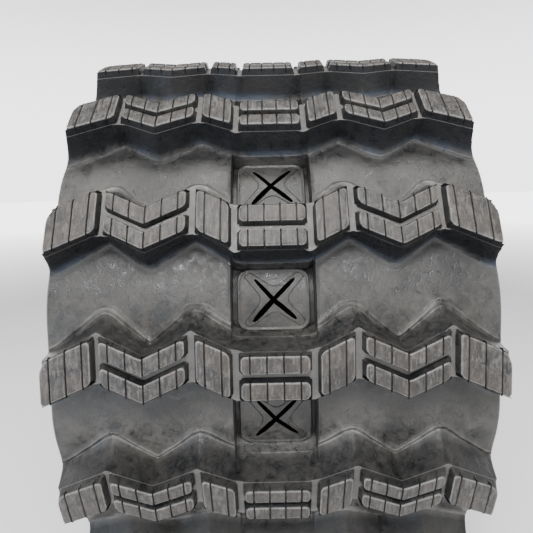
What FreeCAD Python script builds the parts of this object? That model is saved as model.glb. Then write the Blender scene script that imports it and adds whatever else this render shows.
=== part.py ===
import FreeCAD
import Part
import Sketcher
import math
import os

# Endless rubber track, 320 wide, 86 pitch, standing free as a loop.
# Row frame: X across the track, Y along it, Z up, origin on the floor under the middle.
# Link frame: x across the track, y along the travel, z out of the tread, with its
# origin on the cord line in the middle of one pitch.

doc = FreeCAD.newDocument("rubber_track")

# ---------------------------------------------------------------- dimensions, mm

DIMS = {
    # loop
    "track_width": 320.0,
    "link_pitch": 86.0,
    "run_count": 18.0,
    "bend_step": 22.5,
    # carcass, heights from the cord line
    "outer_face": 11.5,
    "inner_face": -12.0,
    "rail_face": -16.0,
    "rail_in": 60.0,
    "rail_wide": 40.0,
    "end_cord": 42.8,
    "end_outer": 44.2,
    "end_inner": 39.5,
    "end_rail": 38.4,
    # tread lug, plan sizes from the lug's middle
    "lug_root": 8.0,
    "lug_plateau": 34.5,
    "lug_top": 41.5,
    "flat_end": 26.0,
    "crest_in": 55.0,
    "valley": 87.0,
    "crest_out": 117.0,
    "pad_out_end": 153.0,
    "body_end": 154.2,
    "root_end": 157.0,
    "crest_rise": 14.0,
    "valley_rise": -0.5,
    "end_rise": -2.0,
    "half_top": 14.75,
    "half_plateau": 16.2,
    "half_root": 26.8,
    "half_groove": 2.75,
    # pad edges across the lug, and the rise of the zigzag there
    "centre_edge": 22.7,
    "inner_start": 29.4,
    "inner_stop": 51.6,
    "vee_start": 58.5,
    "vee_stop": 114.0,
    "outer_start": 119.5,
    "inner_start_rise": 1.64,
    "inner_stop_rise": 12.36,
    "vee_start_rise": 12.41,
    "vee_stop_rise": 12.55,
    "outer_start_rise": 12.89,
    # sprocket window, panel and slit, from the window's middle
    "panel_wide": 52.0,
    "panel_long": 43.0,
    "panel_top": 6.0,
    "panel_under": 2.5,
    "channel_wide": 59.0,
    "window_wide": 50.0,
    "window_long": 36.0,
    "slit_reach_x": 14.0,
    "slit_reach_y": 13.0,
    "slit_half": 1.6,
    "slit_tip": 0.4,
    # steel core
    "wing_reach": 118.0,
    "wing_start": 20.0,
    "wing_top": -2.8,
    "wing_under": -10.5,
    "wing_half_in": 21.0,
    "wing_half_out": 14.0,
    "wing_thin": 1.5,
    "bridge_wide": 68.0,
    "bridge_long": 27.0,
    "bridge_top": 4.0,
    "horn_at": 44.0,
    "horn_wide": 24.0,
    "horn_long": 44.0,
    "horn_tip_wide": 13.0,
    "horn_tip_long": 22.0,
    "horn_root": -4.0,
    "horn_reach": 52.0,
    "collar_wall": 3.0,
    "collar_reach": 12.0,
    # steel cords
    "cord_radius": 2.5,
    "cord_first": 42.0,
    "cord_step": 6.5,
    "cord_count": 11.0,
    "cord_length": 84.0,
}

sheet = doc.addObject("Spreadsheet::Sheet", "Dims")
for row, (name, size) in enumerate(DIMS.items(), start=1):
    sheet.set("A%d" % row, name)
    sheet.set("B%d" % row, str(size))
    sheet.setAlias("B%d" % row, name)
doc.recompute()


def words_of(sum_text):
    """Split a sum such as 'crest_rise + half_top' into signed words."""
    sign = 1.0
    for word in sum_text.split():
        if word in "+-":
            sign = -1.0 if word == "-" else 1.0
        else:
            yield sign, word
            sign = 1.0


def size_of(sum_text):
    return sum(sign * (DIMS[word] if word in DIMS else float(word))
               for sign, word in words_of(sum_text))


def cells_of(sum_text):
    terms = []
    for sign, word in words_of(sum_text):
        cell = "Dims." + word if word in DIMS else word
        terms.append("%s%s" % ("-" if sign < 0 else "+", cell))
    return "0" + "".join(terms)


# ---------------------------------------------------------------- helpers


def bind(obj, **sums):
    for prop, sum_text in sums.items():
        obj.setExpression(prop.replace("__", "."), cells_of(sum_text))


def box(name, low, high):
    """Box between two corners, each given as three sums of cells."""
    obj = doc.addObject("Part::Box", name)
    for side, axis, a, b in zip(("Length", "Width", "Height"), "xyz", low, high):
        obj.setExpression(side, "(%s) - (%s)" % (cells_of(b), cells_of(a)))
        obj.setExpression("Placement.Base." + axis, cells_of(a))
    return obj


def join(name, parts):
    obj = doc.addObject("Part::MultiFuse", name)
    obj.Shapes = parts
    return obj


def group(name, parts):
    obj = doc.addObject("Part::Compound", name)
    obj.Links = parts
    return obj


def cut(name, base, tool):
    obj = doc.addObject("Part::Cut", name)
    obj.Base = base
    obj.Tool = tool
    return obj


def copy_at(name, source, place):
    obj = group(name, [source])
    obj.Placement = place
    return obj


def plane_of(body, role):
    return [f for f in body.Origin.OriginFeatures if f.Role == role][0]


def sketch_on(body, name, role, height="0"):
    sketch = body.newObject("Sketcher::SketchObject", name)
    sketch.AttachmentSupport = (plane_of(body, role), [""])
    sketch.MapMode = "FlatFace"
    sketch.setExpression("AttachmentOffset.Base.z", cells_of(height))
    return sketch


def outline(sketch, corners):
    """Closed polygon whose corners are pairs of sums, each tied to the sheet."""
    spots = [FreeCAD.Vector(size_of(x), size_of(y), 0) for x, y in corners]
    first = sketch.GeometryCount
    count = len(spots)
    for i in range(count):
        sketch.addGeometry(Part.LineSegment(spots[i], spots[(i + 1) % count]), False)
    for i in range(count):
        sketch.addConstraint(Sketcher.Constraint(
            "Coincident", first + i, 2, first + (i + 1) % count, 1))
    for i, (x, y) in enumerate(corners):
        for kind, text, value in (("DistanceX", x, spots[i].x), ("DistanceY", y, spots[i].y)):
            index = sketch.addConstraint(Sketcher.Constraint(kind, -1, 1, first + i, 1, value))
            sketch.setExpression("Constraints[%d]" % index, cells_of(text))


def pad(body, name, sketch, length, symmetric=False):
    obj = body.newObject("PartDesign::Pad", name)
    obj.Profile = sketch
    if symmetric:
        obj.SideType = "Symmetric"
    obj.setExpression("Length", cells_of(length))
    sketch.Visibility = False
    return obj


def mirrored(text):
    """The same sum with every sign turned round."""
    return " ".join("%s %s" % ("-" if sign > 0 else "+", word) for sign, word in words_of(text))


# ---------------------------------------------------------------- tread lug

# Corners of the zigzag across half the lug: distance from the middle, rise.
ZIGZAG = [("flat_end", "0"), ("crest_in", "crest_rise"), ("valley", "valley_rise"),
          ("crest_out", "crest_rise")]


def zigzag_band(end, half):
    """Outline of the whole zigzag bar, half being its half length along the travel."""
    right = ZIGZAG + [(end, "end_rise")]
    left = [(mirrored(x), y) for x, y in reversed(right)]
    line = left + right
    upper = [(x, "%s + %s" % (y, half)) for x, y in line]
    lower = [(x, "%s - %s" % (y, half)) for x, y in reversed(line)]
    return upper + lower


def strip(points, low, high):
    """Pad outline that follows the zigzag points between two offsets."""
    return ([(x, "%s %s" % (y, high)) for x, y in points]
            + [(x, "%s %s" % (y, low)) for x, y in reversed(points)])


lug = doc.addObject("PartDesign::Body", "tread_lug")
root_sketch = sketch_on(lug, "lug_root_outline", "XY_Plane", "outer_face")
outline(root_sketch, zigzag_band("root_end", "half_root"))
plateau_sketch = sketch_on(lug, "lug_plateau_outline", "XY_Plane", "lug_plateau")
outline(plateau_sketch, zigzag_band("body_end", "half_plateau"))
foot_sketch = sketch_on(lug, "lug_foot_outline", "XY_Plane", "lug_root")
outline(foot_sketch, zigzag_band("root_end", "half_root"))
pad(lug, "lug_foot", foot_sketch, "outer_face - lug_root")
bar = lug.newObject("PartDesign::AdditiveLoft", "lug_bar")
bar.Profile = root_sketch
bar.Sections = [plateau_sketch]
bar.Ruled = True

vee_line = [("vee_start", "vee_start_rise"), ("valley", "valley_rise"),
            ("vee_stop", "vee_stop_rise")]
inner_line = [("inner_start", "inner_start_rise"), ("inner_stop", "inner_stop_rise")]
outer_line = [("outer_start", "outer_start_rise"), ("pad_out_end", "end_rise")]
centre_line = [("- centre_edge", "0"), ("centre_edge", "0")]
FULL = ("- half_top", "+ half_top")
UPPER = ("+ half_groove", "+ half_top")
LOWER = ("- half_top", "- half_groove")
pads_sketch = sketch_on(lug, "pad_outlines", "XY_Plane", "lug_plateau")
for span in (UPPER, LOWER):
    outline(pads_sketch, strip(centre_line, *span))
for points, spans in ((inner_line, (FULL,)), (vee_line, (UPPER, LOWER)), (outer_line, (FULL,))):
    for span in spans:
        outline(pads_sketch, strip(points, *span))
        other_side = [(mirrored(x), y) for x, y in points]
        outline(pads_sketch, strip(other_side, *span))
pads = pad(lug, "pads", pads_sketch, "lug_top - lug_plateau")
lug.Tip = pads

# ---------------------------------------------------------------- sprocket window

slit = doc.addObject("PartDesign::Body", "cross_slit")
slit_sketch = sketch_on(slit, "slit_outline", "XY_Plane", "panel_under - 1")
outline(slit_sketch, [
    ("0", "slit_half"), ("slit_reach_x - slit_tip", "slit_reach_y"),
    ("slit_reach_x", "slit_reach_y - slit_tip"), ("slit_half", "0"),
    ("slit_reach_x", "slit_tip - slit_reach_y"), ("slit_reach_x - slit_tip", "- slit_reach_y"),
    ("0", "- slit_half"), ("slit_tip - slit_reach_x", "- slit_reach_y"),
    ("- slit_reach_x", "slit_tip - slit_reach_y"), ("- slit_half", "0"),
    ("- slit_reach_x", "slit_reach_y - slit_tip"), ("slit_tip - slit_reach_x", "slit_reach_y")])
slit.Tip = pad(slit, "slit_depth", slit_sketch, "panel_top - panel_under + 2")

DIMS_HALF = {"half_width": "track_width", "half_panel_wide": "panel_wide",
             "half_panel_long": "panel_long", "half_channel": "channel_wide",
             "half_window_wide": "window_wide", "half_window_long": "window_long",
             "half_bridge_wide": "bridge_wide", "half_bridge_long": "bridge_long"}
for offset, (name, whole) in enumerate(DIMS_HALF.items(), start=len(DIMS) + 1):
    sheet.set("A%d" % offset, name)
    sheet.set("B%d" % offset, str(DIMS[whole] / 2))
    sheet.setAlias("B%d" % offset, name)
DIMS.update({name: DIMS[whole] / 2 for name, whole in DIMS_HALF.items()})

pocket = box("window_pocket", ("- half_window_wide", "- half_window_long", "rail_face - 4"),
             ("half_window_wide", "half_window_long", "panel_under"))
channel = box("tread_channel", ("- half_channel", "- half_panel_long", "panel_top"),
              ("half_channel", "half_panel_long", "lug_top + 2"))
groove_left = box("groove_left", ("- half_channel", "- half_panel_long", "panel_under"),
                  ("- half_panel_wide", "half_panel_long", "panel_top + 1"))
groove_right = box("groove_right", ("half_panel_wide", "- half_panel_long", "panel_under"),
                   ("half_channel", "half_panel_long", "panel_top + 1"))
window = join("sprocket_window", [pocket, channel, groove_left, groove_right, slit])

# ---------------------------------------------------------------- steel core


def wedge(name, base, tip, reach):
    """Tapered bar along its own y axis, base and tip each as half x and half z sums."""
    obj = doc.addObject("Part::Wedge", name)
    bind(obj, Xmin="0 - " + base[0], Xmax=base[0], Zmin="0 - " + base[1], Zmax=base[1],
         X2min="0 - " + tip[0], X2max=tip[0], Z2min="0 - " + tip[1], Z2max=tip[1],
         Ymin="0", Ymax=reach)
    return obj


def half_cell(name, whole_sum):
    """Extra sheet cell holding half of a sum, so that wedges can be centred."""
    row = len(DIMS) + 1
    DIMS[name] = size_of(whole_sum) / 2
    sheet.set("A%d" % row, name)
    sheet.set("B%d" % row, str(DIMS[name]))
    sheet.setAlias("B%d" % row, name)
    return name


half_horn_wide = half_cell("half_horn_wide", "horn_wide")
half_horn_long = half_cell("half_horn_long", "horn_long")
half_tip_wide = half_cell("half_tip_wide", "horn_tip_wide")
half_tip_long = half_cell("half_tip_long", "horn_tip_long")
half_wing = half_cell("half_wing", "wing_top - wing_under")
half_wing_tip = half_cell("half_wing_tip", "wing_top - wing_under - wing_thin")
wing_middle = half_cell("wing_middle", "wing_top + wing_under")

core_parts = [box("bridge", ("- half_bridge_wide", "- half_bridge_long", "wing_under"),
                  ("half_bridge_wide", "half_bridge_long", "bridge_top"))]
collars = []
for side, word in ((-1, "left"), (1, "right")):
    wing = wedge("wing_" + word, ("wing_half_in", half_wing), ("wing_half_out", half_wing_tip),
                 "wing_reach - wing_start")
    wing.Placement.Rotation = FreeCAD.Rotation(FreeCAD.Vector(0, 0, 1), -90 * side)
    bind(wing, Placement__Base__x=("+ " if side > 0 else "- ") + "wing_start",
         Placement__Base__z=wing_middle)
    horn = wedge("horn_" + word, (half_horn_wide, half_horn_long), (half_tip_wide, half_tip_long),
                 "horn_reach")
    collar = wedge("collar_" + word, (half_horn_wide + " + collar_wall", half_horn_long
                                      + " + collar_wall"),
                   (half_horn_wide, half_horn_long), "collar_reach")
    for obj, root in ((horn, "horn_root"), (collar, "inner_face")):
        obj.Placement.Rotation = FreeCAD.Rotation(FreeCAD.Vector(1, 0, 0), -90)
        bind(obj, Placement__Base__x=("+ " if side > 0 else "- ") + "horn_at",
             Placement__Base__z=root)
    core_parts += [wing, horn]
    collars.append(collar)
core = join("steel_core", core_parts)

# ---------------------------------------------------------------- steel cords


def cords(name, side, length):
    """One band of cords on one side of the sprocket windows."""
    lines = []
    for i in range(int(DIMS["cord_count"])):
        line = doc.addObject("Part::Cylinder", "%s_%d" % (name, i + 1))
        line.Placement.Rotation = FreeCAD.Rotation(FreeCAD.Vector(1, 0, 0), -90)
        line.setExpression("Radius", "Dims.cord_radius")
        line.setExpression("Height", length)
        line.setExpression("Placement.Base.x",
                           "%d * (Dims.cord_first + %d * Dims.cord_step)" % (side, i))
        line.setExpression("Placement.Base.y", "-(%s) / 2" % length)
        lines.append(line)
    return group(name, lines)


# ---------------------------------------------------------------- rubber
# The rubber is moulded round the cores and cords, which overlap it as press fits.


def carcass(name, shift, horn_places):
    """Flat rubber belt with its two roller rails, shift being what each half is longer
    than a single pitch, and the collars round the guide horns."""
    body = doc.addObject("PartDesign::Body", name)
    face = sketch_on(body, name + "_profile", "YZ_Plane")
    outer = "end_outer + " + shift
    cord = "end_cord + " + shift
    inner = "end_inner + " + shift
    rail = "end_rail + " + shift
    outline(face, [(outer, "outer_face"), (mirrored(outer), "outer_face"), (mirrored(cord), "0"),
                   (mirrored(inner), "inner_face"), (inner, "inner_face"), (cord, "0")])
    pad(body, name + "_belt", face, "track_width", symmetric=True)
    belt_parts = [body]
    for word, start in (("left", "0 - rail_in - rail_wide"), ("right", "rail_in")):
        strip_body = doc.addObject("PartDesign::Body", "%s_rail_%s" % (name, word))
        rail_face = sketch_on(strip_body, "%s_rail_%s_profile" % (name, word), "YZ_Plane", start)
        outline(rail_face, [(inner, "inner_face"), (mirrored(inner), "inner_face"),
                            (mirrored(rail), "rail_face"), (rail, "rail_face")])
        strip_body.Tip = pad(strip_body, "%s_rail_%s_pad" % (name, word), rail_face, "rail_wide")
        belt_parts.append(strip_body)
    for i, place in enumerate(horn_places):
        belt_parts += [copy_at("%s_collars_%d" % (name, i + 1), collar_pair, place)]
        belt_parts += [copy_at("%s_lug_%d" % (name, i + 1), lug, place)]
    return join(name + "_blank", belt_parts)


def along(y):
    return FreeCAD.Placement(FreeCAD.Vector(0, y, 0), FreeCAD.Rotation())


collar_pair = group("collar_pair", collars)
pitch = DIMS["link_pitch"]
count = int(DIMS["run_count"])
run_length = pitch * count
link_centres = [(i + 0.5) * pitch - run_length / 2 for i in range(count)]

# One bend link.
link_cords = [cords("link_cords_left", -1, "Dims.cord_length"),
              cords("link_cords_right", 1, "Dims.cord_length")]
link_cord_pair = group("link_cords", link_cords)
link_windows = [copy_at("link_window_%d" % (i + 1), window, along(y))
                for i, y in enumerate((-pitch / 2, pitch / 2))]
link_blank = carcass("link", "0", [along(0)])
link_rubber = cut("link_rubber", link_blank, group("link_windows", link_windows))

# One straight run, with the same ends as a bend link.
half_cell("run_shift", "0")
DIMS["run_shift"] = (run_length - pitch) / 2
sheet.set(sheet.getCellFromAlias("run_shift"), str(DIMS["run_shift"]))
run_cord_length = "Dims.cord_length + 2 * Dims.run_shift"
run_cords = {word: cords("run_cords_" + word, side, run_cord_length)
             for side, word in ((-1, "left"), (1, "right"))}
run_cores = group("run_cores", [copy_at("run_core_%d" % (i + 1), core, along(y))
                                for i, y in enumerate(link_centres)])
run_windows = group("run_windows", [
    copy_at("run_window_%d" % (i + 1), window, along(i * pitch - run_length / 2))
    for i in range(count + 1)])
run_blank = carcass("run", "run_shift", [along(y) for y in link_centres])
run_rubber = cut("run_rubber", run_blank, run_windows)

# ---------------------------------------------------------------- placing the pieces

step = DIMS["bend_step"]
turns = int(round(180 / step))
floor_height = DIMS["lug_top"]


def placed(angle, y, z):
    """Link frame turned to the loop angle: 0 on the floor, 90 at the front, 180 on top."""
    return FreeCAD.Placement(FreeCAD.Vector(0, y, z),
                             FreeCAD.Rotation(FreeCAD.Vector(1, 0, 0), 180 - angle))


nodes = []
y, z = -run_length / 2, floor_height
for k in range(1, turns):
    turn = math.radians(k * step)
    ahead, up = pitch * math.cos(turn), pitch * math.sin(turn)
    for end, front in (("front", True), ("rear", False)):
        angle = k * step if front else 360 - k * step
        middle = y - ahead / 2
        place = placed(angle, middle if front else -middle, z + up / 2)
        for piece, source in (("rubber", link_rubber), ("core", core), ("cords", link_cord_pair)):
            nodes.append(copy_at("%s_link_%d_%s" % (end, k, piece), source, place))
    y, z = y - ahead, z + up
for word, place in (("bottom", placed(0, 0, floor_height)), ("top", placed(180, 0, z))):
    for piece, source in (("rubber", run_rubber), ("cores", run_cores),
                          ("cords_left", run_cords["left"]),
                          ("cords_right", run_cords["right"])):
        nodes.append(copy_at("%s_run_%s" % (word, piece), source, place))

doc.recompute()

# ---------------------------------------------------------------- checks and files

for obj in doc.Objects:
    if "Invalid" in obj.State or "Error" in obj.State:
        raise RuntimeError("%s did not rebuild: %s" % (obj.Label, obj.State))
for node in nodes:
    if node.Shape.isNull() or not node.Shape.isValid():
        raise RuntimeError("%s has no valid shape" % node.Label)

os.makedirs("parts", exist_ok=True)
for node in nodes:
    node.Shape.exportStep("parts/%s.step" % node.Label)
    print("%-24s %3d solids %10.1f cm3" % (node.Label, len(node.Shape.Solids),
                                          node.Shape.Volume / 1000))
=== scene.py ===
import math

import bmesh
import bpy
import numpy as np
from mathutils import Matrix, Vector


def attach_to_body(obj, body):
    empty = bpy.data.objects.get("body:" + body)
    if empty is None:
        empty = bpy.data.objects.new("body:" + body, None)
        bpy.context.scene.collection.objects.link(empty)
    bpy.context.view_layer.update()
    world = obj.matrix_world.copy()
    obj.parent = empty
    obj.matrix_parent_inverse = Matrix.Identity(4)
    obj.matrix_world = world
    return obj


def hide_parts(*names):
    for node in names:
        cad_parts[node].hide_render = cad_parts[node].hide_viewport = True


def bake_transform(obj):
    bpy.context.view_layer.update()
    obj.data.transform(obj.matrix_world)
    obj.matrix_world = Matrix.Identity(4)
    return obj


# Looks of the endless rubber track. Lengths below are in millimetres in a link frame:
# x across the track, s along the travel, h out of the tread, from the cord line.

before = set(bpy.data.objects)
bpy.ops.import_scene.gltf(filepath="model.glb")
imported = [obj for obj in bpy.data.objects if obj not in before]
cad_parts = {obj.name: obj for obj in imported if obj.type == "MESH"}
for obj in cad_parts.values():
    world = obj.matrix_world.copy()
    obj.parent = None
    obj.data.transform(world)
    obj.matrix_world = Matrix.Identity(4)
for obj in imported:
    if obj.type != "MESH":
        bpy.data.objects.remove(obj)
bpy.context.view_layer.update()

MM = 0.001
PITCH = 86.0
HALF = PITCH / 2
RUN_LINKS = 18
BEND_STEP = 22.5
BEND_LINKS = 7
FLOOR_TO_CORD = 41.5
BEND_TANGENT = 12.0      # the belt curves this far each side of a hinge

TOP = 41.5               # pad tops
PLATEAU = 34.5           # floor of the gaps between pads
OUTER = 11.5             # belt, tread side
PANEL = 5.6              # window panel
CHANNEL = 0.6            # groove beside the panel
INNER = -12.0            # belt, roller side
RAIL = -15.6
EDGE = 159.4

CELLS_PER_PIECE = 6      # pitches of a straight run that make one piece
WINDOW_X = 24.5          # half the opening under a window panel, across and along
WINDOW_S = 18.0
PLATE = 3.2              # thickness of the panel at its slit

GRAIN_SEED = 4.7
HORIZON = 3.2            # brightness of the surroundings at eye level
OVERHEAD = 0.5           # brightness of the surroundings above
SLIT_SHADE = -60.0       # texture height that the material takes as the inside of a slit, painted black as shade

# Camera: millimetres for the lens, metres and degrees for its place.
SENSOR_WIDTH = 36.0
FOCAL_LENGTH = 33.7036
LENS_SHIFT = -0.06848
CAMERA_SPOT = (-0.004, -1.302, 0.3776)
CAMERA_TILT = 4.3
CAMERA_ROLL = -1.2

# Colours of the rubber.
BELT_DARK, BELT_PALE = (0.011, 0.011, 0.011), (0.065, 0.0615, 0.0565)
PAD_DARK, PAD_PALE = (0.008, 0.008, 0.008), (0.088, 0.084, 0.079)
BROWN_STAIN = (0.056, 0.044, 0.036)
DUST_SPECK = (0.15, 0.14, 0.13)
PIT_BLACK = (0.004, 0.004, 0.004)
# pale edge colour: partly real wear, partly a painted highlight
EDGE_WEAR_AND_HIGHLIGHT = (0.170, 0.163, 0.155)
# painted shade at the root of each lug's trailing side
ROOT_SHADE = (0.006, 0.006, 0.007)
# painted shade for the channel and everything lower
CHANNEL_SHADE = (0.0045, 0.0045, 0.005)
# painted shade on the lug flanks
FLANK_SHADE = (0.0045, 0.0050, 0.0062)
BLUE_SHEEN = (0.026, 0.040, 0.064)
# paler colour of the gap floors between the pads
GAP_FLOOR_PALE = (0.100, 0.097, 0.093)
# black painted as the shade inside the slit
SLIT_SHADOW_BLACK = (0.0008, 0.0008, 0.0008)

# ------------------------------------------------------------------ loop geometry


def axes_at(angle):
    """Travel and outward directions in (Y, Z) at a loop angle in degrees."""
    a = math.radians(angle)
    return (np.array([-math.cos(a), math.sin(a)]), np.array([-math.sin(a), -math.cos(a)]))


def build_loop():
    """Every pitch cell of the loop, from one lug middle to the next, centred on its hinge."""
    cells = []
    reach = RUN_LINKS * PITCH / 2
    hinge = np.array([-reach, FLOOR_TO_CORD])
    chain = ["bottom_run"] + ["link_%d" % k for k in range(1, BEND_LINKS + 1)] + ["top_run"]
    for k in range(BEND_LINKS + 1):
        bodies = [name if "run" in name else "front_" + name for name in chain[k:k + 2]]
        cells.append({"name": "front_%d" % (k + 1), "hinge": hinge, "angle": k * BEND_STEP,
                      "turn": BEND_STEP, "bodies": bodies})
        rear = [name if "run" in name else "rear_" + name for name in chain[k:k + 2]][::-1]
        cells.append({"name": "rear_%d" % (k + 1), "hinge": hinge * np.array([-1, 1]),
                      "angle": 360 - (k + 1) * BEND_STEP, "turn": BEND_STEP, "bodies": rear})
        if k < BEND_LINKS:
            hinge = hinge + PITCH * axes_at((k + 1) * BEND_STEP)[0]
    for run, z, angle in (("bottom", FLOOR_TO_CORD, 0.0), ("top", hinge[1], 180.0)):
        along = axes_at(angle)[0][0]
        for i in range(1, RUN_LINKS):
            spot = np.array([along * (i * PITCH - reach), z])
            cells.append({"name": "%s_%d" % (run, i), "hinge": spot, "angle": angle,
                          "turn": 0.0, "bodies": [run + "_run"] * 2})
    return cells


def place(cell, x, s, h):
    """Row-frame points, in metres, of belt points given from the cell's hinge."""
    x, s, h = np.broadcast_arrays(x, s, h)
    start_t, start_n = axes_at(cell["angle"])
    end_t, end_n = axes_at(cell["angle"] + cell["turn"])
    out = np.empty(x.shape + (3,))
    out[..., 0] = x
    if cell["turn"] == 0:
        yz = cell["hinge"] + s[..., None] * start_t + h[..., None] * start_n
    else:
        radius = BEND_TANGENT / math.tan(math.radians(cell["turn"]) / 2)
        centre = cell["hinge"] - BEND_TANGENT * start_t - radius * start_n
        share = np.clip((s + BEND_TANGENT) / (2 * BEND_TANGENT), 0, 1)
        turned = np.radians(cell["angle"] + share * cell["turn"])
        normal = np.stack([-np.sin(turned), -np.cos(turned)], axis=-1)
        bent = centre + (radius + h)[..., None] * normal
        before = cell["hinge"] + s[..., None] * start_t + h[..., None] * start_n
        after = cell["hinge"] + s[..., None] * end_t + h[..., None] * end_n
        yz = np.where((s <= -BEND_TANGENT)[..., None], before,
                      np.where((s >= BEND_TANGENT)[..., None], after, bent))
    out[..., 1:] = yz
    return out * MM


# ------------------------------------------------------------------ tread form

# Zigzag of the lug: distance from the middle, then the rise of the pads there and how far
# the foot of the lug spreads beyond them on the leading (+s) and trailing (-s) sides.
ZIG_X = np.array([0, 26, 55, 87, 117, 153, 160.0])
ZIG_RISE = np.array([0, 0, 14, -0.5, 14, -2, -4.6])
LEAD_SPREAD = np.array([8.5, 9.5, 13.5, 2.0, 13.5, 2.0, 2.0])
TRAIL_SPREAD = np.array([8.5, 7.5, 2.0, 10.5, 2.0, 9.5, 9.5])

HALF_TOP = 14.75
HALF_GROOVE = 2.75
PADS = [(-22.7, 22.7, True), (29.4, 51.6, False), (58.5, 114.0, True), (119.5, 153.0, False)]
SIPES = [5.5, 16.5, 34.8, 45.7, 64.0, 75.0, 86.0, 97.0, 108.0, 124.7, 135.6, 146.4]
LUG_END = 153.0
SIPE_HALF = 0.32
SIPE_DEPTH = 1.9
NIB = 1.3                # sipes run this far past the pad edges
WALL = 1.4               # width of the sloping side of a pad
END_STEPS = [-WALL, 0.0, 0.35, 0.9, 1.9, 3.2]
CORNER = 3.2
OUTER_CORNER = 8.0


def smooth_table(x, table, width):
    """Value of a broken line at |x|, with its corners rounded over the given width."""
    offsets = np.linspace(-width, width, 9)
    weights = 1 - np.abs(offsets) / (width * 1.15)
    weights /= weights.sum()
    return sum(w * np.interp(np.abs(x + o), ZIG_X, table) for w, o in zip(weights, offsets))


def across_lines(fine):
    """Grid lines across the track for x >= 0, set on every edge of the tread."""
    lines = [0.0, 26.0, 28.6, 29.2, 29.7, 30.6, 32.0, 55.0, 117.0]
    for low, high, _ in PADS:
        for step in (END_STEPS if fine else END_STEPS[1::2]):
            lines += [low + step, high - step]
    for at in SIPES:
        lines += [at - SIPE_HALF * 2, at - SIPE_HALF, at + SIPE_HALF, at + SIPE_HALF * 2]
    lines += [84.0, 88.2, 90.0, 53.0, 57.0, 115.6, 118.4]
    lines += [140.0, 142.0, 149.8, 154.2, 155.6, 157.0, 158.2, EDGE]
    if fine:
        lines += [147.9, 148.9]
    lines = sorted(line for line in set(np.round(lines, 3)) if 0 <= line <= EDGE)
    merged = [lines[0]]
    for line in lines[1:]:
        if line - merged[-1] > 0.16:
            merged.append(line)
    spread = []
    limit = 3.6 if fine else 7.0
    for low, high in zip(merged, merged[1:]):
        parts = max(1, int(math.ceil((high - low) / limit)))
        spread += [low + (high - low) * i / parts for i in range(parts)]
    spread.append(merged[-1])
    return np.array(spread)


# Along the travel: lines over the pad, then down the flank, then across the valley.
PAD_LINES = [0.0, 1.35, 2.75, 3.1, 3.65, 4.65, 5.95, 8.75, 11.55, 12.85, 13.85, 14.4, 14.75]
FLANK = [(0.02, 40.4), (0.07, 37.0), (0.12, 34.2), (0.24, 27.0), (0.42, 20.5), (0.66, 15.4),
         (0.90, 12.4)]
FOOT_LEAD = [(0.5, 12.9), (1.5, 13.1), (2.6, 12.4), (4.2, 11.6)]
FOOT_TRAIL = [(0.5, 12.2), (1.5, 11.9), (3.0, 11.6), (5.0, 11.5)]
GAP_FLARE = 2.4
GAPS = [26.05, 55.05, 116.75]
VALLEY_SHARES = [0.25, 0.5, 0.75, 1.0]


def pad_height(x, v):
    """Height of the pads, gaps and sipes above the zigzag line, v being the way from it."""
    height = np.full(np.broadcast(x, v).shape, PLATEAU)
    x_full, v_full = np.broadcast_arrays(x, v)
    ax_full = np.abs(x_full)
    for low, high, split in PADS:
        side = x_full if low < 0 else ax_full
        from_end = np.minimum(side - low, high - side)
        away = np.abs(v_full)
        from_edge = HALF_TOP - away
        if split:
            from_edge = np.minimum(from_edge, away - HALF_GROOVE)
        corner = np.full(from_end.shape, CORNER)
        if high > 150:
            corner = np.where((side > 136) & (v_full > 0), OUTER_CORNER, CORNER)
        a = np.maximum(corner - from_end, 0)
        b = np.maximum(corner - from_edge, 0)
        inside = np.where((a > 0) & (b > 0), corner - np.hypot(a, b),
                          np.minimum(from_end, from_edge))
        rise = np.interp(inside, [-WALL, 0.0, 0.35, 0.9, 1.9], [0, 0.76, 0.91, 0.97, 1.0])
        height = np.maximum(height, PLATEAU + (TOP - PLATEAU) * rise)
        if split:
            floor = (away < HALF_GROOVE - WALL + 0.1) & (from_end > 1.0)
            height = np.where(floor, PLATEAU - 0.9, height)
    for at in SIPES:
        near = np.abs(ax_full - at)
        cut = np.interp(near, [SIPE_HALF, SIPE_HALF * 2], [1, 0])
        height = np.where(height > TOP - 1.2, height - SIPE_DEPTH * cut, height)
    return height


def lug_end(x):
    """Greatest height of the tread, which falls from the lug's end to the belt's edge."""
    fall = np.interp(np.abs(x), [LUG_END, 153.6, 154.4, 155.8, 157.2, 158.6, EDGE],
                     [TOP, 38.5, 31.0, 22.0, 15.5, 12.0, 10.6])
    return np.where(np.abs(x) <= LUG_END, TOP, fall)


def foot_of_lug(x, sign):
    """Where the lug's foot runs, rounded at its outward points and sharp in its notches."""
    spread = LEAD_SPREAD if sign > 0 else TRAIL_SPREAD
    crisp, soft = (smooth_table(x, ZIG_RISE + sign * (HALF_TOP + spread), width)
                   for width in (2.0, 10.0))
    return np.minimum(crisp, soft) if sign > 0 else np.maximum(crisp, soft)


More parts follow.
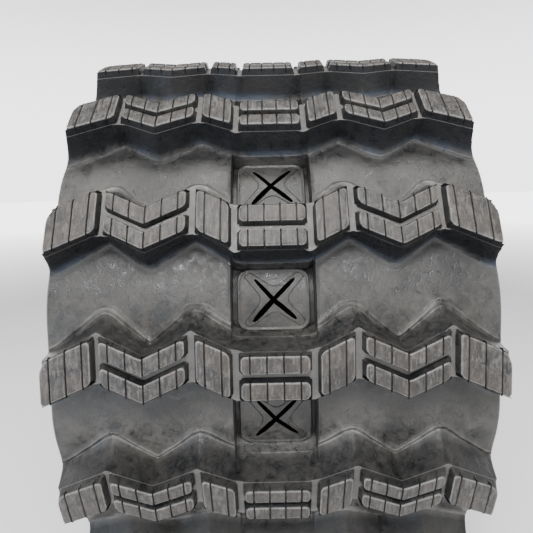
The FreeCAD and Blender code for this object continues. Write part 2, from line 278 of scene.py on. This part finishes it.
def half_tread(x, sign):
    """Grid of (x, s, h) from the middle of a lug to the hinge, on its +s or -s side."""
    rise = smooth_table(x, ZIG_RISE, 1.6)
    edge = rise + sign * HALF_TOP
    near_sipe = np.min([np.abs(np.abs(x) - at) for at in SIPES], axis=0)
    nib = np.where((near_sipe <= SIPE_HALF * 1.05) & (np.abs(x) < LUG_END), NIB, 0.0)
    rows = []
    for line in PAD_LINES:
        v = np.full(x.shape, sign * line)
        over = nib if line > HALF_TOP - 0.1 else 0.0
        rows.append((rise + v + sign * over, pad_height(x, v)))
    foot_line = foot_of_lug(x, sign)
    gap_ends = np.clip(1 - np.min([np.abs(np.abs(x) - at) for at in GAPS], axis=0) / 5.2, 0, 1)
    gap_ends = np.sqrt(np.sin(gap_ends * math.pi / 2))
    channel_share = np.interp(np.abs(x), [29.2, 29.9], [1, 0])
    for k, (share, height) in enumerate(FLANK):
        flare = [0.0, GAP_FLARE * 0.55, GAP_FLARE, GAP_FLARE * 1.1, 0.6, 0, 0][k]
        s = edge + (foot_line - edge) * share + sign * (nib * (0.9 if k == 0 else 0))
        s = np.where(gap_ends > 0, sign * np.maximum(sign * s, sign * edge + flare * gap_ends), s)
        deep = np.interp(height, [OUTER, 24.0], [1, 0])
        rows.append((s, height - channel_share * deep * (OUTER - CHANNEL - 1.5)))
    for step, height in (FOOT_LEAD if sign > 0 else FOOT_TRAIL):
        s = foot_line + sign * np.minimum(step, np.abs(sign * HALF - foot_line) * step / 6.0)
        rows.append((s, height - channel_share * (height - CHANNEL - 0.6)))
    last = rows[-1][0]
    for share in VALLEY_SHARES:
        s = last + (sign * HALF - last) * share
        rows.append((s, OUTER - channel_share * (OUTER - CHANNEL)))
    s = np.array([row[0] for row in rows])
    h = np.array([np.broadcast_to(row[1], x.shape) for row in rows])
    # gap floors stop the flank at their own level
    floor = pad_height(x, np.full(x.shape, sign * (HALF_TOP - 0.9)))
    gap = floor < PLATEAU + 2
    count = len(PAD_LINES)
    h[count:] = np.where(gap & (h[count:] > PLATEAU), PLATEAU, h[count:])
    for k in (1, 2):
        h[count + k] = np.where(gap_ends > 0.25, PLATEAU, h[count + k])
    h = np.minimum(h, lug_end(x))
    # raised lip along each side of the channel
    lip = np.interp(np.abs(x), [29.6, 30.6, 32.5], [0, 0.7, 0])
    h = np.where(h < OUTER + 0.5, h + lip * (1 - channel_share), h)
    return s, h


def tread_grid(fine):
    """The whole cell's outer surface: (x, s, h) arrays, rows running lug to lug."""
    positive = across_lines(fine)
    x = np.concatenate([-positive[:0:-1], positive])
    lead_s, lead_h = half_tread(x, 1)
    trail_s, trail_h = half_tread(x, -1)
    s = np.vstack([lead_s - HALF, (trail_s + HALF)[::-1][1:]])
    h = np.vstack([lead_h, trail_h[::-1][1:]])
    x_rows = np.broadcast_to(x, s.shape)
    # rolled edge and side wall down to the roller side
    wall = [(159.95, 9.0), (160.0, 6.5), (160.0, -1.0), (160.0, -8.5), (159.2, -11.2),
            (157.0, -12.0)]
    wall_x = np.array([w[0] for w in wall])
    wall_h = np.array([w[1] for w in wall])
    s_end = s[:, -1:]
    wall_s = np.repeat(s_end, len(wall), axis=1)
    x_full = np.hstack([-wall_x[::-1] + 0 * wall_s, x_rows, wall_x + 0 * wall_s])
    s_full = np.hstack([wall_s[:, ::-1], s, wall_s])
    h_full = np.hstack([wall_h[::-1] + 0 * wall_s, h, wall_h + 0 * wall_s])
    return x_full, s_full, h_full


def inner_grid():
    """Roller side of one cell: belt, rails, horn collars and the window pocket's rim."""
    half_lines = [0, 12, 24.0, 25.0, 27.0, 29.2, 32.5, 44, 55.5, 58.0, 59.2, 60.4, 62, 70, 80, 90,
                  98, 99.6, 100.8, 102, 110, 125, 140, 150, 157]
    x = np.concatenate([-np.array(half_lines[:0:-1]), half_lines]).astype(float)
    s = np.array([-43, -30, -24, -21, -18.2, -17.6, -12, -6, 0, 6, 12, 17.6, 18.2, 21, 24, 30, 43.0])
    xg, sg = np.meshgrid(x, s)
    ax, away = np.abs(xg), HALF - np.abs(sg)
    h = np.full(xg.shape, INNER)
    rail = np.interp(ax, [58.6, 60.6, 99.4, 101.4], [0, 1, 1, 0])
    h = h + (RAIL - INNER) * rail
    collar = np.interp(np.maximum(np.abs(ax - 44) / 15.0, away / 25.0), [0.80, 1.0], [1, 0])
    h = np.minimum(h, INNER - 9.0 * collar)
    return xg, sg, h


# ------------------------------------------------------------------ mesh helpers


def grid_faces(rows, cols, offset=0, skip=None, flip=False):
    faces = []
    for i in range(rows - 1):
        for j in range(cols - 1):
            if skip is not None and skip[i, j]:
                continue
            a = offset + i * cols + j
            quad = (a, a + 1, a + cols + 1, a + cols)
            faces.append(quad[::-1] if flip else quad)
    return faces


def mesh_object(name, points, faces, track_points, material, sharp=34):
    """Object from arrays, keeping each point's flat track place for its material."""
    mesh = bpy.data.meshes.new(name)
    mesh.from_pydata(points.reshape(-1, 3).tolist(), [], faces)
    mesh.update()
    place_attr = mesh.attributes.new("track", "FLOAT_VECTOR", "POINT")
    place_attr.data.foreach_set("vector", track_points.astype(np.float32).ravel())
    mesh.polygons.foreach_set("use_smooth", [True] * len(mesh.polygons))
    mesh.set_sharp_from_angle(angle=math.radians(sharp))
    mesh.materials.append(material)
    obj = bpy.data.objects.new(name, mesh)
    bpy.context.scene.collection.objects.link(obj)
    return obj


def flat_place(number, x, s, h):
    """Texture place of a point: x, then s counted along the loop, then h, in millimetres."""
    x, s, h = np.broadcast_arrays(x, s, h)
    return np.stack([x, s + number * PITCH, h], axis=-1).reshape(-1, 3)


class Piece:
    """Gathers the meshes of one or more cells into one object."""

    def __init__(self, name):
        self.name = name
        self.points, self.track, self.faces = [], [], []
        self.count = 0

    def add(self, points, track, faces):
        used = sorted({i for face in faces for i in face})
        index = {old: new + self.count for new, old in enumerate(used)}
        self.points.append(points.reshape(-1, 3)[used])
        self.track.append(track.reshape(-1, 3)[used])
        self.faces += [tuple(index[i] for i in face) for face in faces]
        self.count += len(used)

    def build(self, material):
        return mesh_object(self.name, np.vstack(self.points), self.faces,
                           np.vstack(self.track), material)


def attach(obj, bodies):
    """The piece rides on the one body it belongs to; a piece across a hinge only has its place baked
    into its points.
    """
    first, second = bodies
    if first == second:
        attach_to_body(obj, first)
    else:
        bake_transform(obj)


# ------------------------------------------------------------------ window panel


def rounded_square(half_x, half_s, radius, per_corner=8):
    points = []
    for quarter in range(4):
        sx, ss = [(1, 1), (-1, 1), (-1, -1), (1, -1)][quarter]
        for i in range(per_corner + 1):
            a = math.radians(90 * (quarter + i / per_corner))
            points.append((sx * (half_x - radius) + radius * math.cos(a),
                           ss * (half_s - radius) + radius * math.sin(a)))
    return points


def slit_outline(narrow):
    """The tapered cross slit: four rounded arms, anticlockwise, their width scaled by narrow."""
    arms = [(15.8, 14.6, 1.6), (-13.6, 13.8, 1.45), (-14.8, -14.8, 2.0), (16.4, -13.2, 1.7)]
    points = []
    for i, (ax, as_, wide) in enumerate(arms):
        length = math.hypot(ax, as_)
        ux, us = ax / length, as_ / length
        px, ps = -us, ux
        wide = wide * narrow
        side = [(0.30, 1.0), (0.62, 0.98), (0.86, 0.78), (0.965, 0.48)]
        points += [(ux * length * f - px * wide * w, us * length * f - ps * wide * w)
                   for f, w in side]
        points.append((ux * length, us * length))
        points += [(ux * length * f + px * wide * w, us * length * f + ps * wide * w)
                   for f, w in side[::-1]]
        nx, ns, n_wide = arms[(i + 1) % 4]
        n_length = math.hypot(nx, ns)
        # where this arm's left side meets the next arm's right side
        bx, bs = ux + nx / n_length, us + ns / n_length
        b_length = math.hypot(bx, bs)
        reach = (wide + n_wide * narrow) / 2 * 1.35
        points.append((bx / b_length * reach, bs / b_length * reach))
    return points


def star_outline(grow):
    """Embossed line round the slit, four blunt arms with hollow sides between them."""
    corners = [(18.0, 19.2), (22.2, 15.6), (8.6, 0.6), (22.6, -13.8), (20.2, -18.6), (1.0, -6.8),
               (-17.4, -18.8), (-20.8, -15.0), (-7.6, 0.4), (-21.0, 15.6), (-17.0, 18.8),
               (0.6, 7.4)]
    points = []
    count = len(corners)
    for i in range(count):
        before, here, after = (np.array(corners[(i + d) % count]) for d in (-1, 0, 1))
        hollow = i % 3 == 2
        cut = 5.5 if hollow else 1.3
        first = here + (before - here) / np.linalg.norm(before - here) * cut
        last = here + (after - here) / np.linalg.norm(after - here) * cut
        for f in (0.0, 0.25, 0.5, 0.75, 1.0):
            points.append(((1 - f) ** 2 * first + 2 * f * (1 - f) * here + f * f * last))
    points = np.array(points)[::-1]
    ahead = np.roll(points, -1, axis=0) - np.roll(points, 1, axis=0)
    normal = np.stack([ahead[:, 1], -ahead[:, 0]], axis=1)
    normal /= np.linalg.norm(normal, axis=1)[:, None]
    return [tuple(p) for p in points + normal * grow]


def panel_mesh():
    """One window panel laid flat, as (points, faces, texture places): rim, plate and slit."""
    mesh = bmesh.new()

    def ring(outline, height):
        return [mesh.verts.new((x, s, height)) for x, s in outline]

    def wall(lower, upper):
        for i in range(len(lower)):
            j = (i + 1) % len(lower)
            mesh.faces.new((lower[i], lower[j], upper[j], upper[i]))

    def fill(outer, hole):
        edges = []
        for loop in (outer, hole):
            for i in range(len(loop)):
                pair = (loop[i], loop[(i + 1) % len(loop)])
                edges.append(mesh.edges.get(pair) or mesh.edges.new(pair))
        bmesh.ops.triangle_fill(mesh, use_beauty=True, edges=edges)

    base = PANEL
    rims = [(26.1, 21.6, 8.6, CHANNEL - 0.4), (26.0, 21.5, 8.5, base - 0.7),
            (25.4, 20.9, 8.0, base + 0.55), (24.6, 20.1, 7.4, base + 0.7),
            (23.6, 19.2, 6.6, base + 0.25), (22.9, 18.7, 6.0, base)]
    loops = [ring(rounded_square(a, b, r), z) for a, b, r, z in rims]
    for low, high in zip(loops, loops[1:]):
        wall(low, high)
    star = [ring(star_outline(g), base + z)
            for g, z in ((0.45, 0.0), (0.16, -0.42), (-0.12, -0.42), (-0.45, 0.12))]
    fill(loops[-1], star[0])
    for low, high in zip(star, star[1:]):
        wall(low, high)
    slit = [ring(slit_outline(width), base - depth)
            for width, depth in ((1.0, 0.1), (0.9, 0.5), (0.3, PLATE))]
    fill(star[-1], slit[0])
    for low, high in zip(slit, slit[1:]):
        wall(low, high)
    # a floor closes the slit; the material paints it black as shade
    lip = slit[-1]
    bmesh.ops.triangle_fill(mesh, use_beauty=True, edges=[
        mesh.edges.get((a, b)) for a, b in zip(lip, lip[1:] + lip[:1])])
    under = ring(rounded_square(25.4, 20.9, 8.0), base - PLATE)
    fill(under, lip)
    for s in np.arange(-20, 21, 2.5):
        bmesh.ops.bisect_plane(mesh, geom=list(mesh.verts) + list(mesh.edges) + list(mesh.faces),
                               plane_co=(0, s, 0), plane_no=(0, 1, 0), dist=0.02)
    bmesh.ops.recalc_face_normals(mesh, faces=mesh.faces)
    mesh.verts.index_update()
    points = np.array([v.co[:] for v in mesh.verts])
    faces = [tuple(v.index for v in face.verts) for face in mesh.faces]
    mesh.free()
    # the slit's walls and floor take the height that the material paints black as shade
    shade = points.copy()
    inside = (np.abs(points[:, 0]) < 16.5) & (np.abs(points[:, 1]) < 15.5)
    shade[inside & (points[:, 2] < base - 0.45), 2] = SLIT_SHADE
    return points, faces, shade


# ------------------------------------------------------------------ materials


class Nodes:
    """Small helper for building node trees in few lines."""

    def __init__(self, name):
        self.material = bpy.data.materials.new(name)
        self.material.use_nodes = True
        self.tree = self.material.node_tree
        self.tree.nodes.clear()
        self.output = self.add("ShaderNodeOutputMaterial")
        self.shader = self.add("ShaderNodeBsdfPrincipled")
        self.link(self.shader.outputs[0], self.output.inputs[0])

    def add(self, kind, **values):
        node = self.tree.nodes.new(kind)
        for key, value in values.items():
            if hasattr(node, key):
                setattr(node, key, value)
            else:
                node.inputs[key.replace("_", " ").title()].default_value = value
        return node

    def link(self, source, target):
        self.tree.links.new(source, target)

    def noise(self, vector, scale, detail=4.0, roughness=0.55, distortion=0.0):
        node = self.add("ShaderNodeTexNoise", noise_dimensions="4D", W=GRAIN_SEED, scale=scale,
                        detail=detail, roughness=roughness, distortion=distortion)
        self.link(vector, node.inputs["Vector"])
        return node.outputs[0]

    def remap(self, value, low, high, to_low=0.0, to_high=1.0):
        node = self.add("ShaderNodeMapRange")
        self.link(value, node.inputs["Value"])
        for key, number in (("From Min", low), ("From Max", high), ("To Min", to_low),
                            ("To Max", to_high)):
            node.inputs[key].default_value = number
        return node.outputs[0]

    def math(self, operation, a, b=None):
        node = self.add("ShaderNodeMath", operation=operation)
        for socket, value in zip(node.inputs, (a, b)):
            if value is None:
                continue
            if isinstance(value, (int, float)):
                socket.default_value = value
            else:
                self.link(value, socket)
        return node.outputs[0]

    def blend_of(self, *shares):
        total = None
        for value, share in shares:
            part = self.math("MULTIPLY", value, share)
            total = part if total is None else self.math("ADD", total, part)
        return total

    def scaled(self, vector, factors):
        node = self.add("ShaderNodeVectorMath", operation="MULTIPLY")
        self.link(vector, node.inputs[0])
        node.inputs[1].default_value = factors
        return node.outputs[0]

    def mix(self, factor, a, b):
        node = self.add("ShaderNodeMix", data_type="RGBA")
        self.link(factor, node.inputs[0])
        for socket, value in ((node.inputs[6], a), (node.inputs[7], b)):
            if isinstance(value, tuple):
                socket.default_value = value + (1.0,)
            else:
                self.link(value, socket)
        return node.outputs[2]

    def bump(self, height, strength, distance, normal=None):
        node = self.add("ShaderNodeBump")
        node.inputs["Strength"].default_value = strength
        node.inputs["Distance"].default_value = distance
        self.link(height, node.inputs["Height"])
        if normal is not None:
            self.link(normal, node.inputs["Normal"])
        return node.outputs[0]


def rubber_material():
    n = Nodes("moulded_rubber")
    place_node = n.add("ShaderNodeAttribute", attribute_name="track")
    spot = place_node.outputs["Vector"]
    split = n.add("ShaderNodeSeparateXYZ")
    n.link(spot, split.inputs[0])
    height = split.outputs[2]
    on_pad = n.remap(height, 40.3, 41.0)
    stretched = n.scaled(spot, (1.0, 0.16, 1.0))
    patches = n.remap(n.noise(spot, 0.030, 5.0, 0.62), 0.38, 0.62)
    smears = n.remap(n.noise(spot, 0.14, 7.0, 0.66, 0.8), 0.36, 0.66)
    streaks = n.remap(n.noise(stretched, 0.75, 5.0, 0.65), 0.42, 0.68)
    fine = n.noise(spot, 0.8, 6.0, 0.75)
    grain = n.remap(fine, 0.32, 0.68)
    specks = n.remap(n.noise(spot, 0.9, 2.0, 0.5), 0.70, 0.76)
    pits = n.remap(n.noise(n.scaled(spot, (1.0, 1.0, 1.7)), 0.55, 2.0, 0.5), 0.30, 0.25)
    belt_tone = n.blend_of((smears, 0.55), (patches, 0.25), (grain, 0.20))
    belt = n.mix(n.remap(belt_tone, 0.22, 0.80), BELT_DARK, BELT_PALE)
    pad_tone = n.blend_of((smears, 0.45), (streaks, 0.33), (grain, 0.22))
    pad = n.mix(n.remap(pad_tone, 0.32, 0.76), PAD_DARK, PAD_PALE)
    pad = n.mix(n.math("MULTIPLY", patches, 0.35), pad, BROWN_STAIN)
    colour = n.mix(on_pad, belt, pad)
    colour = n.mix(n.math("MULTIPLY", specks, 0.45), colour, DUST_SPECK)
    colour = n.mix(n.math("MULTIPLY", pits, 0.6), colour, PIT_BLACK)
    # pad rims are paler from wear and a painted highlight, the bead at the lug's foot from a painted
    # highlight; flanks, grooves and slits are painted nearly black as shade
    rim = n.math("MULTIPLY", n.remap(height, 40.2, 40.9), n.remap(height, 41.42, 41.1))
    # painted highlight along the bead at the lug's foot, broken up in patches
    bead_highlight = n.math("MULTIPLY", n.remap(height, 12.3, 13.0), n.remap(height, 13.8, 13.2))
    bead_highlight = n.math("MULTIPLY", bead_highlight, n.remap(patches, 0.1, 0.9, 0.1, 1.0))
    wear_and_highlight = n.math("MULTIPLY", n.math("MAXIMUM", rim, bead_highlight), n.remap(smears, 0, 1, 0.25, 0.8))
    colour = n.mix(wear_and_highlight, colour, EDGE_WEAR_AND_HIGHLIGHT)
    flank = n.math("MULTIPLY", n.remap(height, 13.1, 18.0), n.remap(height, 40.5, 40.0))
    off_floor = n.remap(n.math("ABSOLUTE", n.math("SUBTRACT", height, PLATEAU)), 0.1, 0.4)
    flank = n.math("MULTIPLY", flank, off_floor)
    # share of the pitch, from one lug's middle to the next, tells a lug's two sides apart
    share = n.math("FRACT", n.math("ADD", n.math("DIVIDE", split.outputs[1], PITCH), 0.5))
    trailing = n.remap(share, 0.45, 0.55)
    # painted shade: the belt darkens from the hinge towards the trailing root of the next lug
    low = n.remap(height, 13.0, 11.6)
    root_shade = n.math("MULTIPLY", n.math("MULTIPLY", n.remap(share, 0.50, 0.80), low), 0.62)
    colour = n.mix(root_shade, colour, ROOT_SHADE)
    # painted shade in the channel beside the panel; everything lower, the roller side included, is
    # darkened the same
    channel_shade = n.math("MULTIPLY", n.remap(height, 4.2, 2.0), 0.70)
    colour = n.mix(channel_shade, colour, CHANNEL_SHADE)
    # painted shade on the lug flanks, deeper on the trailing side
    depth = n.remap(trailing, 0, 1, 0.50, 0.84)
    colour = n.mix(n.math("MULTIPLY", flank, depth), colour, FLANK_SHADE)
    foot = n.math("MULTIPLY", n.remap(height, 11.8, 13.5), n.remap(height, 21.0, 15.0))
    sheen = n.math("MULTIPLY", n.math("MULTIPLY", foot, trailing),
                   n.remap(patches, 0.2, 1.0, 0, 0.55))
    colour = n.mix(sheen, colour, BLUE_SHEEN)
    # the floors of the gaps between the pads are painted paler
    pale_gap_floor = n.math("MULTIPLY", n.math("SUBTRACT", 1.0, off_floor), 0.45)
    colour = n.mix(pale_gap_floor, colour, GAP_FLOOR_PALE)
    # painted shade: the inside of the slit is black
    slit_shadow = n.remap(height, -20.0, -40.0)
    colour = n.mix(slit_shadow, colour, SLIT_SHADOW_BLACK)
    n.link(colour, n.shader.inputs["Base Color"])
    dull = n.math("MAXIMUM", n.math("MULTIPLY", flank, 0.55), slit_shadow)
    shine = n.math("MULTIPLY", n.remap(smears, 0, 1, 0.42, 0.12), n.math("SUBTRACT", 1.0, dull))
    n.link(shine, n.shader.inputs["Specular IOR Level"])
    rough = n.math("ADD", n.remap(smears, 0, 1, 0.26, 0.50), n.remap(on_pad, 0, 1, 0.0, 0.06))
    rough = n.math("ADD", rough, n.remap(grain, 0, 1, -0.05, 0.05))
    n.link(rough, n.shader.inputs["Roughness"])
    bump = n.bump(fine, 0.55, 0.0004)
    bump = n.bump(smears, 0.30, 0.0008, bump)
    n.link(bump, n.shader.inputs["Normal"])
    return n.material


def steel_material(name, dark, light, metal, low, high):
    n = Nodes(name)
    spot = n.add("ShaderNodeTexCoord").outputs["Object"]
    patches = n.remap(n.noise(spot, 45.0, 6.0, 0.65), 0.35, 0.68)
    fine = n.noise(spot, 900.0, 3.0, 0.6)
    n.link(n.mix(patches, dark, light), n.shader.inputs["Base Color"])
    n.shader.inputs["Metallic"].default_value = metal
    n.link(n.remap(patches, 0, 1, low, high), n.shader.inputs["Roughness"])
    n.link(n.bump(fine, 0.3, 0.0004), n.shader.inputs["Normal"])
    return n.material


def floor_material():
    """Pale floor that brightens into the horizon, so no edge shows behind the track."""
    n = Nodes("pale_floor")
    spot = n.add("ShaderNodeTexCoord").outputs["Object"]
    n.link(n.mix(n.remap(n.noise(spot, 1.2, 2.0), 0.3, 0.7), (0.80, 0.80, 0.80),
                 (0.82, 0.82, 0.82)), n.shader.inputs["Base Color"])
    n.shader.inputs["Roughness"].default_value = 0.85
    length = n.add("ShaderNodeVectorMath", operation="LENGTH")
    n.link(spot, length.inputs[0])
    n.shader.inputs["Emission Color"].default_value = (1.0, 1.0, 1.0, 1.0)
    n.link(n.remap(length.outputs["Value"], 1.0, 5.0, 0.0, HORIZON),
           n.shader.inputs["Emission Strength"])
    return n.material


rubber = rubber_material()
core_steel = steel_material("forged_core", (0.055, 0.050, 0.046), (0.16, 0.14, 0.125), 0.75,
                            0.42, 0.62)
cord_steel = steel_material("plated_cord", (0.30, 0.24, 0.15), (0.50, 0.42, 0.28), 1.0, 0.3, 0.45)

# ------------------------------------------------------------------ building the pieces

cells = build_loop()
fine_tread = tread_grid(True)
plain_tread = tread_grid(False)
roller_side = inner_grid()
panel_points, panel_faces, panel_shade = panel_mesh()


def tread_skip(x, s):
    """Faces left out where the window panel covers the opening."""
    middle_x = np.abs((x[:-1, :-1] + x[1:, 1:]) / 2)
    middle_s = np.abs((s[:-1, :-1] + s[1:, 1:]) / 2)
    return (middle_x < WINDOW_X) & (middle_s < WINDOW_S)


def one_side(faces, s, side):
    """The faces on one side of the hinge, or all of them when side is 0."""
    if not side:
        return faces
    flat = np.ravel(s)
    return [face for face in faces if side * np.mean(flat[list(face)]) > 0]


def add_cell(piece, cell, number, grid, flip, side):
    x, s, h = grid
    faces = grid_faces(x.shape[0], x.shape[1], skip=tread_skip(x, s), flip=flip)
    piece.add(place(cell, x, s, h), flat_place(number, x, s, h), one_side(faces, s, side))


def add_pocket(piece, cell, number, side):
    """Walls of the window pocket, from the roller side up to the panel."""
    outline = rounded_square(WINDOW_X + 0.5, WINDOW_S, 3.0, 4)
    count = len(outline)
    x = np.array([[p[0] for p in outline]] * 2)
    s = np.array([[p[1] for p in outline]] * 2)
    h = np.array([[INNER - 0.3] * count, [PANEL - 3.0] * count])
    faces = [(i, (i + 1) % count, count + (i + 1) % count, count + i) for i in range(count)]
    piece.add(place(cell, x, s, h), flat_place(number, x, s, h), one_side(faces, s, side))


order = {cell["name"]: i for i, cell in enumerate(cells)}
open_cell = "rear_%d" % (BEND_LINKS + 1)      # nothing joins its two bodies, so it parts there
groups = []
for cell in cells:
    if cell["name"] == open_cell:
        groups.append((cell["name"] + "_top", [cell], -1))
        groups.append((cell["name"] + "_link", [cell], 1))
    elif cell["turn"]:
        groups.append((cell["name"], [cell], 0))
for run in ("bottom", "top"):
    run_cells = [cell for cell in cells if cell["name"].startswith(run)]
    for part, start in enumerate(range(0, len(run_cells), CELLS_PER_PIECE)):
        members = run_cells[start:start + CELLS_PER_PIECE]
        groups.append(("%s_run_%d" % (run, part + 1), members, 0))

for name, members, side in groups:
    bodies = members[0]["bodies"]
    fine = members[0]["turn"] > 0
    tread = Piece("tread_" + name)
    lining = Piece("lining_" + name)
    panels = Piece("panel_" + name)
    for cell in members:
        number = order[cell["name"]]
        add_cell(tread, cell, number, fine_tread if fine else plain_tread, False, side)
        add_cell(lining, cell, number, roller_side, True, side)
        add_pocket(lining, cell, number, side)
        px, ps, ph = panel_points.T
        panels.add(place(cell, px, ps, ph), flat_place(number, *panel_shade.T),
                   one_side(panel_faces, ps, side))
    if side:
        bodies = [bodies[0] if side < 0 else bodies[1]] * 2
    for piece in (tread, lining, panels):
        obj = piece.build(rubber)
        attach(obj, bodies)
        if piece is tread:
            for body in set(bodies):
                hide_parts(body + "_rubber")

for name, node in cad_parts.items():
    if "cord" in name or "core" in name:
        node.data.materials.clear()
        node.data.materials.append(cord_steel if "cord" in name else core_steel)

# ------------------------------------------------------------------ floor, light, camera

reach = 40.0
floor_mesh = bpy.data.meshes.new("floor")
floor_corners = [(-reach, -reach, 0), (reach, -reach, 0), (reach, reach, 0), (-reach, reach, 0)]
floor_mesh.from_pydata(floor_corners, [], [(0, 1, 2, 3)])
floor_mesh.materials.append(floor_material())
floor = bpy.data.objects.new("floor", floor_mesh)
bpy.context.scene.collection.objects.link(floor)

world = bpy.data.worlds.new("studio")
world.use_nodes = True
sky = world.node_tree.nodes
links = world.node_tree.links
direction = sky.new("ShaderNodeSeparateXYZ")
links.new(sky.new("ShaderNodeTexCoord").outputs["Generated"], direction.inputs[0])
falling = sky.new("ShaderNodeMapRange")
falling.interpolation_type = "SMOOTHSTEP"
for key, value in (("From Min", 0.12), ("From Max", 0.60), ("To Min", HORIZON),
                   ("To Max", OVERHEAD)):
    falling.inputs[key].default_value = value
links.new(direction.outputs[2], falling.inputs["Value"])
links.new(falling.outputs[0], sky["Background"].inputs[1])
sky["Background"].inputs[0].default_value = (1.0, 1.0, 1.0, 1.0)
bpy.context.scene.world = world


def area_light(name, spot, target, width, height, power, colour=(1, 1, 1)):
    data = bpy.data.lights.new(name, "AREA")
    data.shape = "RECTANGLE"
    data.size, data.size_y = width, height
    data.energy = power
    data.color = colour
    light = bpy.data.objects.new(name, data)
    light.location = spot
    light.rotation_euler = (Vector(target) - Vector(spot)).to_track_quat("-Z", "Y").to_euler()
    bpy.context.scene.collection.objects.link(light)


face = Vector((0, -0.95, 0.3))
area_light("key", face + Vector((-0.1, -1.15, 1.0)), face, 0.6, 0.3, 40)
area_light("top", face + Vector((0.0, -0.25, 1.5)), face, 1.4, 0.3, 26)
area_light("side", face + Vector((-1.5, -0.35, -0.05)), face, 0.5, 0.5, 4, (0.45, 0.68, 1.0))
area_light("low", face + Vector((-0.55, -0.7, -0.24)), face + Vector((0, 0, 0.05)), 0.5, 0.12, 1.1,
           (0.35, 0.60, 1.0))

camera_data = bpy.data.cameras.new("camera")
camera_data.sensor_width = SENSOR_WIDTH
camera_data.lens = FOCAL_LENGTH
camera_data.shift_y = LENS_SHIFT
camera_data.clip_start = 0.01
camera = bpy.data.objects.new("camera", camera_data)
bpy.context.scene.collection.objects.link(camera)
camera.location = CAMERA_SPOT
tilt = math.radians(CAMERA_TILT)
look = Vector((0, math.cos(tilt), -math.sin(tilt)))
roll = Matrix.Rotation(math.radians(CAMERA_ROLL), 3, "Z")
turn = look.to_track_quat("-Z", "Y").to_matrix() @ roll
camera.rotation_euler = turn.to_euler()
bpy.context.scene.camera = camera
